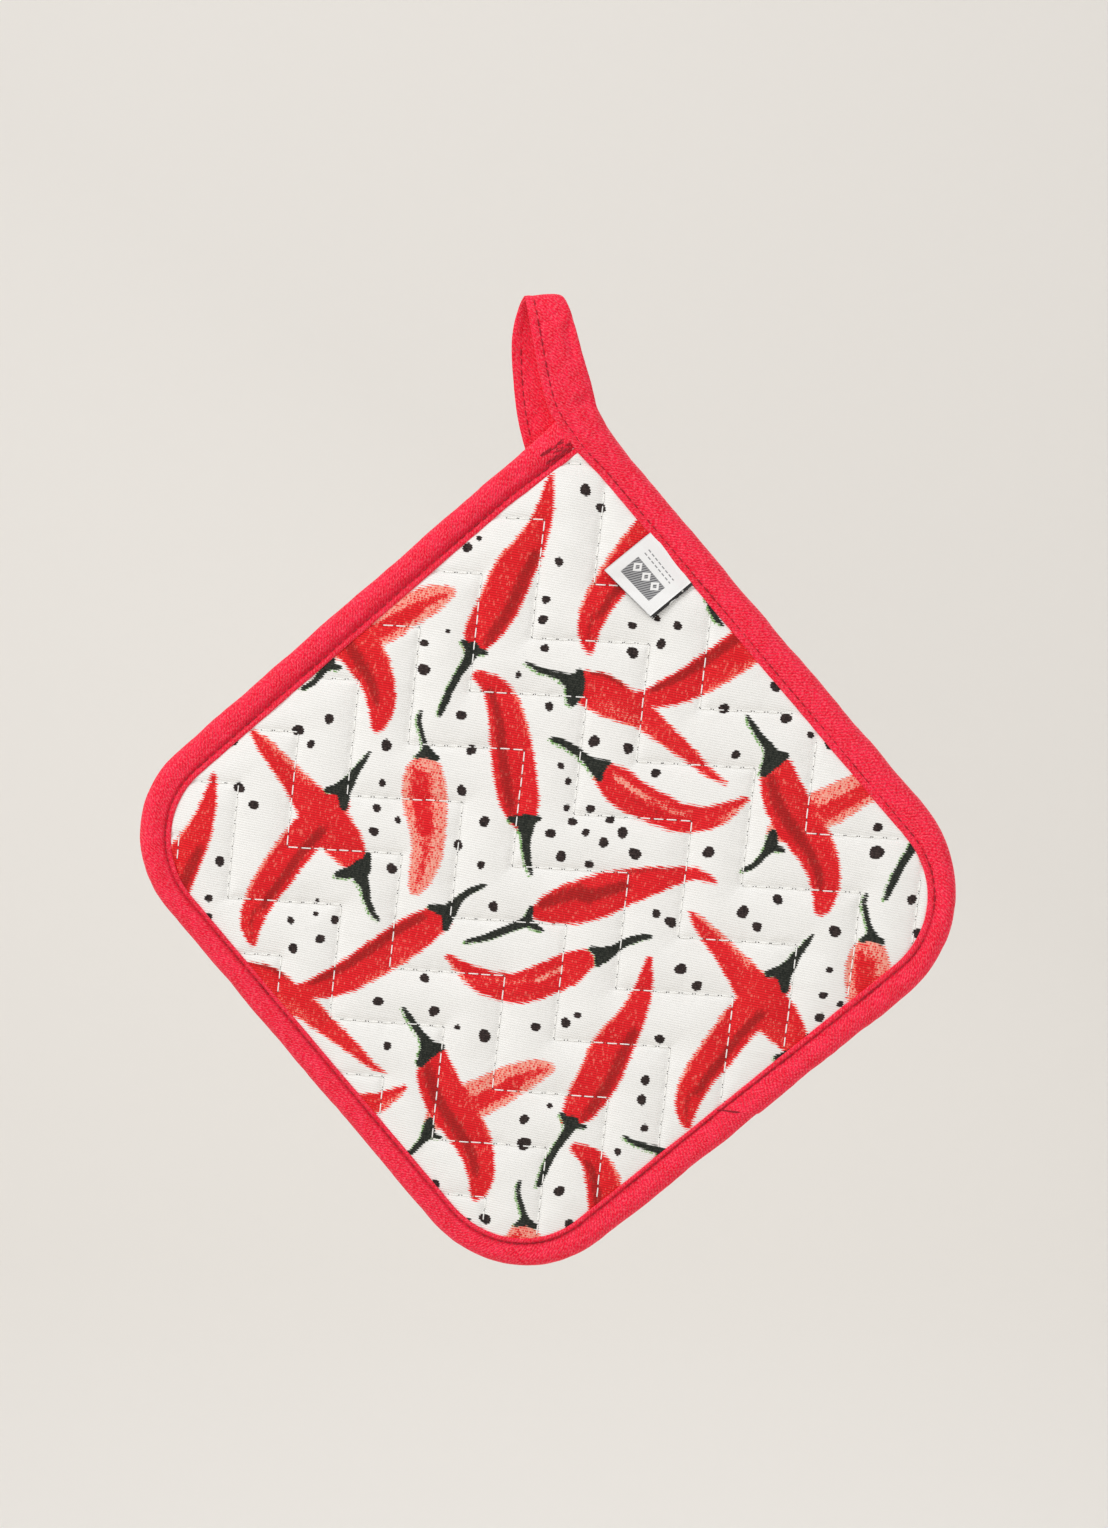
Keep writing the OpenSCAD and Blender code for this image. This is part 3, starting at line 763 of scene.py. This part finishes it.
class Value:
    """A number or colour that differs over the surface. Numbers take + - * / and abs()."""

    def __init__(self, finish, socket):
        self.finish, self.socket = finish, socket

    def __add__(self, other):
        return self.finish.math("ADD", self, other)

    def __sub__(self, other):
        return self.finish.math("SUBTRACT", self, other)

    def __rsub__(self, other):
        return self.finish.math("SUBTRACT", other, self)

    def __mul__(self, other):
        return self.finish.math("MULTIPLY", self, other)

    def __truediv__(self, other):
        return self.finish.math("DIVIDE", self, other)

    def __abs__(self):
        return self.finish.math("ABSOLUTE", self)

    __radd__, __rmul__ = __add__, __mul__


class Finish:
    """A material that is put together a node at a time."""

    def __init__(self, name, roughness, sheen=0, specular=.3):
        self.material = bpy.data.materials.new(name)
        self.material.use_nodes = True
        self.nodes, self.links = self.material.node_tree.nodes, self.material.node_tree.links
        self.skin = self.nodes["Principled BSDF"]
        self.skin.inputs["Roughness"].default_value = roughness
        self.skin.inputs["Specular IOR Level"].default_value = specular
        if sheen:
            self.skin.inputs["Sheen Weight"].default_value = sheen
            self.skin.inputs["Sheen Roughness"].default_value = .5

    def plug(self, sockets, values):
        for socket, value in zip(sockets, values):
            if isinstance(value, Value):
                self.links.new(value.socket, socket)
            else:
                socket.default_value = value

    def field(self, name):
        """The three parts of one of the mesh's vector attributes."""
        node = self.nodes.new("ShaderNodeAttribute")
        node.attribute_name = name
        split = self.nodes.new("ShaderNodeSeparateXYZ")
        self.links.new(node.outputs["Vector"], split.inputs[0])
        return [Value(self, socket) for socket in split.outputs]

    def math(self, kind, *inputs):
        node = self.nodes.new("ShaderNodeMath")
        node.operation = kind
        self.plug(node.inputs, inputs)
        return Value(self, node.outputs[0])

    def fraction(self, value):
        return self.math("FRACT", value)

    def ramp(self, value, low, high, to_low=0, to_high=1):
        node = self.nodes.new("ShaderNodeMapRange")
        node.interpolation_type = "SMOOTHSTEP"
        self.plug(node.inputs, (value, low, high, to_low, to_high))
        return Value(self, node.outputs[0])

    def mix(self, share, a, b, blend="MIX"):
        node = self.nodes.new("ShaderNodeMix")
        node.data_type, node.blend_type = "RGBA", blend
        self.plug([node.inputs[0], *node.inputs[6:8]], (share, a, b))
        return Value(self, node.outputs[2])

    def shaded(self, tint, amount):
        """A colour times a grey amount."""
        grey = self.nodes.new("ShaderNodeCombineColor")
        self.plug(grey.inputs, (amount, amount, amount))
        return self.mix(1, tint, Value(self, grey.outputs[0]), "MULTIPLY")

    def noise(self, x, y, z=0, detail=0, rough=.5):
        where = self.nodes.new("ShaderNodeCombineXYZ")
        self.plug(where.inputs, (x, y, z))
        node = self.nodes.new("ShaderNodeTexNoise")
        self.links.new(where.outputs[0], node.inputs["Vector"])
        for name, value in ("Scale", 1), ("Detail", detail), ("Roughness", rough):
            node.inputs[name].default_value = value
        return Value(self, node.outputs[0])

    def finish(self, tint, height=None, depth=.0001):
        self.plug([self.skin.inputs["Base Color"]], [tint])
        if height is not None:
            bump = self.nodes.new("ShaderNodeBump")
            bump.inputs["Strength"].default_value = 1
            bump.inputs["Distance"].default_value = depth
            self.plug([bump.inputs["Height"]], [height])
            self.links.new(bump.outputs[0], self.skin.inputs["Normal"])
        return self.material


RIB, RIB_TURN = .75, math.radians(6.1)


def printed_cotton():
    f = Finish("printed_cotton_twill", .88, sheen=.08, specular=.15)
    x, z, _ = f.field("flat")
    red, black, dot = f.field("ink")
    tone, dark, green = f.field("tint")
    along = x * math.cos(RIB_TURN) - z * math.sin(RIB_TURN)
    across = x * math.sin(RIB_TURN) + z * math.cos(RIB_TURN)
    rib = (f.noise(along * .12, across * .3, detail=1) * .35 + across) / RIB
    number = f.math("FLOOR", rib)
    ridge = 1 - abs(f.fraction(rib) * 2 - 1)
    furrow = 1 - ridge
    # The ribs take the ink first, and each a little further or less far than the next: toothed edges
    jag = (f.noise(along * .35, number * 3.7, detail=1) - .5) * 1.9 - (ridge - .5) * 1.1
    fine = jag * .55
    speck = f.ramp(f.noise(along * 1.5, number * 7.3, detail=1, rough=.6), .25, .75)
    yarn = f.noise(along * 2.6, across * 4, detail=2)
    patch = f.noise(along * .08, across * .16, detail=2)
    lint = f.ramp(f.noise(along * 1.15, number * 5.1, 8, detail=2, rough=.7), .55, .68)

    white = f.mix(patch, colour(243, 242, 238), colour(250, 249, 246))
    white = f.shaded(white, ridge * .095 + yarn * .045 + .9)
    # Red flesh: pale where little ink was laid, lighter at its rim, and dark on its shaded side
    density = tone - f.ramp(red, -1.3, .3, 0, .55) * f.ramp(tone, .35, .6, .35, 1)
    inked = f.ramp(density * 1.2 - (speck * .6 + furrow * .42), -.06, .14)
    strong = f.mix(patch, colour(228, 22, 34), colour(240, 44, 48))
    strong = f.shaded(strong, ridge * .6 + yarn * .2 + .5)
    pink = f.mix(speck, colour(240, 132, 114), colour(249, 178, 160))
    orange = f.mix(speck, colour(244, 84, 74), colour(250, 128, 108))
    flesh = f.mix(inked, f.mix(f.ramp(tone, .4, .75), pink, orange), strong)
    flesh = f.mix(lint * .6, flesh, colour(252, 132, 116))
    deep = f.ramp(dark * 1.15 - (speck * .6 + furrow * .35), -.3, .55)
    flesh = f.mix(deep * .8, flesh, f.shaded(colour(156, 32, 30), ridge * .5 + .66))
    leaf = f.mix(speck, colour(112, 160, 88), colour(170, 206, 140))
    coal = f.shaded(f.mix(speck, colour(30, 34, 30), colour(56, 58, 52)), ridge * .6 + .7)
    soot = f.shaded(f.mix(speck, colour(34, 28, 28), colour(66, 54, 52)), ridge * .6 + .7)
    tint = f.mix(f.ramp(green + fine, .1, -.1) * f.ramp(speck, .85, .35), white, leaf)
    tint = f.mix(f.ramp(red + jag, .12, -.12), tint, flesh)
    tint = f.mix(f.ramp(black + fine, .1, -.1), tint, coal)
    tint = f.mix(f.ramp(dot + jag * .35, .18, -.02), tint, soot)
    return f.finish(tint, ridge * .8 + yarn * .4, .00014)


def red_tape():
    f = Finish("red_cotton_tape", .82, sheen=.1, specular=.15)
    s, d, groove = f.field("flat")
    diagonal, other = (s + d) * .7071, (s - d) * .7071
    line = f.noise(diagonal * .5, other * 1.5, detail=1)
    twill = abs(f.fraction((line * .3 + diagonal) * 1.2) * 2 - 1)
    yarn = f.noise(diagonal * 2.3, other * .95, detail=3, rough=.75)
    fleck = f.ramp(f.noise(diagonal * 2.2, other * 1.2, 3, detail=3, rough=.75), .44, .64)
    cloud = f.noise(s * .2, d * .32, 9, detail=3, rough=.6)
    crease = f.noise(s * .55, d * .2, 4, detail=2)
    tint = f.mix(f.ramp(cloud, .3, .7), colour(238, 0, 44), colour(252, 26, 66))
    tint = f.mix(fleck * .47, tint, colour(255, 128, 140))
    # Painted shade in and beside the topstitching's groove
    tint = f.mix(f.ramp(groove, .95, .05, 0, .65), tint, colour(192, 2, 34))
    tint = f.shaded(tint, twill * .26 + yarn * .84 + .44)
    return f.finish(tint, twill * .8 + (yarn * .8 + (cloud + crease) * 2.4), .00016)


def thread(name, base, hole_shade):
    """Thread in its own colour, and in a painted shade where it goes down into the cloth."""
    f = Finish(name, .55, sheen=.1, specular=.35)
    s, bite, _ = f.field("flat")
    ply = f.noise(s * 26, bite, detail=1)
    # Painted shade where the thread goes down into the cloth
    tint = f.mix(f.ramp(bite, .52, .72), colour(*base), colour(*hole_shade))
    return f.finish(f.shaded(tint, ply * .2 + .88), ply, .00008)


def satin():
    """A woven white label. Dashed grey lines and three lozenges stand in for what was woven there."""
    f = Finish("label_satin", .38, specular=.5)
    x, y, _ = f.field("flat")
    weave = f.noise(x * 9, y * 2.2, detail=1)
    inset = f.ramp(x, 3.3, 3.5) * f.ramp(x, 15.9, 15.7)
    block = inset * (f.ramp(y, 8.2, 8.4) * f.ramp(y, 15.6, 15.4))
    hatch = f.ramp(abs(f.fraction((x + y * .45) * 1.25) - .5), .12, .24)
    mark = block * (hatch * -.38 + 1)
    for centre in (5.7, 9.6, 13.5):
        lozenge = abs(x - centre) + abs(y - 10.6) * .8
        mark = mark * f.math("MAXIMUM", f.ramp(lozenge, 1.55, 1.7), f.ramp(lozenge, .8, .65))
    rule = f.ramp(abs(abs(y - 5.2) - .8), .24, .16) * inset * f.ramp(f.fraction(x * .62), .3, .36)
    mark = f.math("MAXIMUM", mark, rule * .75)
    base = f.shaded(colour(244, 244, 243), weave * .1 + .93)
    return f.finish(f.mix(mark, base, f.shaded(colour(64, 64, 70), weave * .25 + .85)), weave, .00003)


def care_satin():
    f = Finish("care_satin", .5, specular=.4)
    x, y, _ = f.field("flat")
    weave = f.noise(x * 8, y * 8, detail=1)
    gap = f.noise(x * .55, 3, y * .3, detail=1)
    tint = f.mix(f.ramp(gap, .62, .66), colour(48, 46, 46), colour(226, 226, 222))
    return f.finish(f.shaded(tint, weave * .15 + .9), weave, .00003)


def batting():
    f = Finish("cotton_batting", .95, sheen=.2, specular=.1)
    x, z, _ = f.field("flat")
    fibre = f.noise(x * .9, z * .9, detail=5, rough=.7)
    return f.finish(f.mix(fibre, colour(226, 218, 200), colour(246, 242, 230)), fibre, .0004)


# ---- Building it -----------------------------------------------------------------------------
COTTON, RED, SATIN, CARE, BATTING = printed_cotton(), red_tape(), satin(), care_satin(), batting()
# Each thread's second colour is painted shade where it goes down into the cloth
WHITE_THREAD = thread("white_thread", (250, 249, 245), (66, 64, 62))
RED_THREAD = thread("red_thread", (168, 6, 34), (104, 0, 18))

front_cover, back_cover = Cover(1), Cover(-1)
front = cover_piece("front_cover_cloth", front_cover, "front_cover")
back = cover_piece("back_cover_cloth", back_cover, "back_cover", shift=(52, -31))
quilt_front = quilting("quilting_front_stitches", front_cover, "quilting_thread_front")
quilt_back = quilting("quilting_back_stitches", back_cover, "quilting_thread_back")

# Every how many points of the cover's grid the batting has one, how far it keeps below the cover, and
# how high it is at least
BATTING_STEP, BATTING_UNDER, BATTING_LEAST = 4, .75, .5


def batting_ply(name, cover, node):
    """The stuffing under one cover: it fills the quilted cells and thins out to the rim."""
    u, w, h = (field[::BATTING_STEP, ::BATTING_STEP] for field in (cover.u, cover.w, cover.h))
    edge = window_distance(u, w)
    inside = edge < 3.4
    top = np.where(inside, np.maximum(h - BATTING_UNDER, BATTING_LEAST), BATTING_LEAST)
    top = np.minimum(top, 2.4 + np.maximum(-edge, 0) * .6)
    x, z = from_uw(u, w)
    faces = grid_faces(*u.shape)
    faces = faces[inside.ravel()[faces].all(1)]
    edges = np.concatenate([faces[:, [0, 1]], faces[:, [1, 2]], faces[:, [2, 3]], faces[:, [3, 0]]])
    _, first, uses = np.unique(np.sort(edges, 1), axis=0, return_index=True, return_counts=True)
    rim = edges[first[uses == 1]]
    walls = np.stack([rim[:, 1], rim[:, 0], rim[:, 0] + u.size, rim[:, 1] + u.size], -1)
    every = np.concatenate([faces, faces[:, ::-1] + u.size, walls])[:, ::-cover.side]
    used, every = only_used(every, 2 * u.size)
    x, z = np.tile(x.ravel(), 2)[used], np.tile(z.ravel(), 2)[used]
    h = np.concatenate([top.ravel(), np.full(u.size, .03)])[used]
    piece = make(name, np.stack([x, z, h * cover.side], -1), every, BATTING, "pad",
                 flat=np.stack([x, z, h], -1))
    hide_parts(node)


batting_ply("batting_front_layer", front_cover, "batting_front_ply")
batting_ply("batting_back_layer", back_cover, "batting_back_ply")

# The first run of tape. Its hidden start is thinner, since the second run lies over it. Along its upper left
# side the painted shade beside the groove spreads wider
inner, outer = first_run()
station = np.arange(len(inner))
share = station / len(inner)
left_tape = Tape("left_binding_tape", inner, outer,
                 thick=np.full(len(inner), TAPE_H) - .7 * smooth((3.5 - station) / 2),
                 groove=np.interp(share, [0, .38, .5, .68, 1], [1.9, 1.8, 1.5, 1.45, 1.7]), seed=3,
                 fall=np.interp(share, [0, .28, .36, 1], [.3, .3, .7, .7]))
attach(left_tape.piece, "pad")
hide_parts("binding_left")

# The second run, which goes on into the loop from where it has thinned to this. From round the right corner
# on, the painted shade along its groove is lessened
ROOT_THICK = 2.3
inner, outer, thick = strap_run()
gone = lengths_along((inner + outer) / 2)
before_loop = np.arange(len(gone)) < len(gone) * .6
loop_from = gone[np.argmin(np.abs(thick - ROOT_THICK) + before_loop * FAR)]
strap = Tape("right_binding_tape_and_loop", inner, outer, thick,
             groove=np.interp(gone, [0, 45, 110, loop_from, loop_from + 20], [1.7, 1.8, 2.1, 2.2, 2.4]),
             seed=400, free=smooth((gone - loop_from) / 12), soft=np.interp(gone, [0, 70, 120], [0, 0, .55]))
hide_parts("binding_right", "hanging_loop")
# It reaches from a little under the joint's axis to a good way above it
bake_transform(strap.piece)

m1, u1 = topstitches(left_tape, 3, left_tape.gone[-1] - 1)
m2, u2 = topstitches(strap, .5, loop_from - 6)
topstitch = stitches("binding_topstitches", m1 + m2, u1 + u2, .2, RED_THREAD, "pad")
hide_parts("binding_topstitch")
middles, ups = topstitches(strap, loop_from - 3.5, strap.gone[-1] - 16)
# No thread shows on the loop's back leg close to its top
shown = [k for k, line in enumerate(middles) if line[2, 2] > 0 or line[2, 1] < 157.5]
loop_thread = stitches("loop_stitches", [middles[k] for k in shown], [ups[k] for k in shown], .2, RED_THREAD)
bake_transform(loop_thread)
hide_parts("loop_stitching")

# The slanting join of the two runs, sewn shut
SEAM_POINTS, SEAM_STEP = 60, 4
middles, ups = [], []
for side in (1, -1):
    d = np.linspace(.6, FULL_WIDTH, SEAM_POINTS)
    p, up = left_tape.skin(np.full(SEAM_POINTS, left_tape.gone[-1] - .05), d, side)
    q, _ = strap.skin(np.full(SEAM_POINTS, .05), d, side)
    line = (p + q) / 2 - up * .16
    starts = range(0, SEAM_POINTS - SEAM_STEP, SEAM_STEP)
    middles += [line[i:i + SEAM_STEP + 1] for i in starts]
    ups += [up[i:i + SEAM_STEP + 1] for i in starts]
seam = stitches("join_seam_stitches", middles, ups, .34, RED_THREAD, "pad")
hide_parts("binding_join_seam")

# The bar tack that holds the loop's tail, worked over and over in three short rows, through to the
# tail's back
TACK_ROWS = [((-11.2, 125.2), (-3.8, 131.3)), ((-8.6, 125.6), (.2, 131.6)), ((-10.2, 122.4), (-1.6, 129.4))]
# How many stitches a row has, and how far behind the pad's middle the tail's back lies
TACK_STITCHES, TAIL_BACK = 16, 5.22


def tack_height(line, side):
    """How high the cloth lies that the tack is worked on."""
    if side < 0:
        return np.full(len(line), TAIL_BACK)
    w = (line[:, 1] - line[:, 0]) / ROOT2 - HIGH_IN
    return np.interp(w, [0, .4, 1.8, 3, 5, 8], [3.2, 3.4, 3.1, 3.3, 3.65, 3.6])


middles, ups = [], []
for side in (1, -1):
    for a, b in np.array(TACK_ROWS):
        if side < 0:
            b = a + (b - a) * .8
        along = (b - a) / np.linalg.norm(b - a)
        for k in range(TACK_STITCHES):
            p0 = a + (b - a) * rng.uniform(0, .8) + rng.uniform(-.35, .35, 2)
            p1 = p0 + along * rng.uniform(1.2, 2.2) + rng.uniform(-.3, .3, 2)
            line = p0 + (p1 - p0) * np.linspace(0, 1, 5)[:, None]
            h = tack_height(line, side) + .12 + .05 * (k % 3) - .3 * np.abs(np.linspace(-1, 1, 5)) ** 4
            middles.append(np.column_stack([line, h * side]))
            ups.append(np.tile((0, 0, side), (5, 1)))
tack = stitches("loop_bar_tack_stitches", middles, ups, .22, RED_THREAD, "pad")
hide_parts("loop_bar_tack")

# Points across and along a label, and the height at which it is sewn in
LABEL_POINTS, SEWN_AT = (40, 34), 2.9


def label_piece(name, corners, lift, thick, curl, material, node):
    """A folded label. corners run along the sewn edge and back along the free one."""
    nx, ny = LABEL_POINTS
    a, b = np.meshgrid(np.linspace(0, 1, nx), np.linspace(0, 1, ny), indexing="ij")
    s0, s1, f1, f0 = (np.array(c, float) for c in corners)
    flat = ((1 - a)[..., None] * ((1 - b)[..., None] * s0 + b[..., None] * f0)
            + a[..., None] * ((1 - b)[..., None] * s1 + b[..., None] * f1))
    u, w = (flat[..., 0] + flat[..., 1]) / ROOT2, (flat[..., 1] - flat[..., 0]) / ROOT2
    ground = front_cover.height(u, w)
    ground = np.maximum(ground, np.quantile(ground, .7) - .3)
    level = SEWN_AT + (ground - SEWN_AT + lift) * smooth(b * 3.2)
    level = level + curl * b ** 2 + .12 * np.sin(a * 7 + b * 2)
    points = np.concatenate([np.dstack([flat, h]).reshape(-1, 3) for h in (level + thick, level)])
    faces = grid_faces(nx, ny)
    size = nx * ny
    number = np.arange(size).reshape(nx, ny)
    ring = [*number[0], *number[1:, -1], *number[-1, -2::-1], *number[-2:0:-1, 0]]
    walls = [[p + size, q + size, q, p] for p, q in zip(ring, ring[1:] + ring[:1])]
    every = faces.tolist() + (faces[:, ::-1] + size).tolist() + walls
    if np.cross(s1 - s0, f0 - s0) < 0:
        every = [face[::-1] for face in every]
    wide, long = np.linalg.norm(s1 - s0), np.linalg.norm(f0 - s0)
    lay = np.dstack([a * wide, b * long, np.zeros_like(a)]).reshape(-1, 3)
    piece = make(name, points, every, material, "label", flat=np.concatenate([lay, lay]))
    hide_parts(node)
    return piece


label = label_piece("side_label_satin", [(24.9, 105.6), (38, 91), (26.4, 79.6), (11.3, 92.5)],
                    .75, .42, .9, SATIN, "side_label")
care = label_piece("care_label_satin", [(26, 104.4), (38.7, 90.3), (27.1, 78.9), (12.6, 91.3)],
                   .35, .22, .75, CARE, "care_label")


# ---- Stage, light and camera -----------------------------------------------------------------
def stage_surface(name, rows, tint):
    """Part of the stage, from rows of points."""
    rows = np.asarray(rows)
    mesh = bpy.data.meshes.new(name)
    mesh.from_pydata(rows.reshape(-1, 3).tolist(), [], grid_faces(*rows.shape[:2]).tolist())
    mesh.polygons.foreach_set("use_smooth", [True] * len(mesh.polygons))
    mesh.materials.append(Finish(name, .95, specular=.1).finish(tint))
    surface = bpy.data.objects.new(name, mesh)
    bpy.context.scene.collection.objects.link(surface)
    return surface


def turned_up(floor, wall, radius, top):
    """The profile of a floor that turns up into a wall: how far out, and how high."""
    a = np.linspace(0, math.pi / 2, 12)
    bend = np.stack([wall - radius + radius * np.sin(a), floor + radius - radius * np.cos(a)], -1)
    return np.concatenate([bend, [(wall, top)]])


# In metres: the floor's height, the wall's distance, the room's radius, and how far all of it goes
FLOOR, WALL, ROOM, REACH, TOP = -1.15, 2.5, 6, 9, 9
WALL_BEND, ROOM_BEND = .5, 2.5
PALE = colour(238, 235, 230)
profile = np.concatenate([[(-REACH, FLOOR)], turned_up(FLOOR, WALL, WALL_BEND, TOP)])
stage_surface("floor", [[(side * REACH, y, z) for side in (-1, 1)] for y, z in profile], PALE)
# A pale wall all round for views from the side and the back, which leaves the light as it is
around = np.linspace(0, 2 * math.pi, 73)
room = stage_surface("room", [[(r * math.cos(a), r * math.sin(a), z) for a in around]
                              for r, z in turned_up(FLOOR + .001, ROOM, ROOM_BEND, TOP)], PALE)
room.visible_diffuse = room.visible_glossy = room.visible_transmission = room.visible_shadow = False


def lamp(name, where, aim, size, power):
    """A square lamp that looks at a point."""
    data = bpy.data.lights.new(name, "AREA")
    data.size, data.energy = size, power
    light = bpy.data.objects.new(name, data)
    bpy.context.scene.collection.objects.link(light)
    light.location = where
    light.rotation_euler = (Vector(aim) - Vector(where)).to_track_quat("-Z", "Y").to_euler()


PAD_MIDDLE = (0, 0, -.17)
lamp("key", (-1.2, -1.1, 1.15), PAD_MIDDLE, size=.8, power=21)
lamp("fill", (1.4, -1.6, -.1), PAD_MIDDLE, size=1.8, power=4)
lamp("backdrop", (-.3, .9, 1.7), (-.25, WALL, .2), size=1.2, power=5.5)
lamp("rear", (.8, 1.5, .9), PAD_MIDDLE, size=1.4, power=14)
world = bpy.data.worlds.new("studio")
world.use_nodes = True
world.node_tree.nodes["Background"].inputs[0].default_value = colour(226, 225, 225)
world.node_tree.nodes["Background"].inputs[1].default_value = .9
scene = bpy.context.scene
scene.world = world
scene.view_settings.view_transform = "Standard"

# The lens and sensor in millimetres, and how much is seen across the longer side in metres
LENS, SENSOR, SEEN = 85, 36, .478
data = bpy.data.cameras.new("camera")
data.lens, data.sensor_width = LENS, SENSOR
data.clip_start, data.clip_end = .05, 60
camera = bpy.data.objects.new("camera", data)
scene.collection.objects.link(camera)
camera.location = (.0028, -SEEN / SENSOR * LENS, -.1451)
camera.rotation_euler = (math.pi / 2, 0, 0)
scene.camera = camera
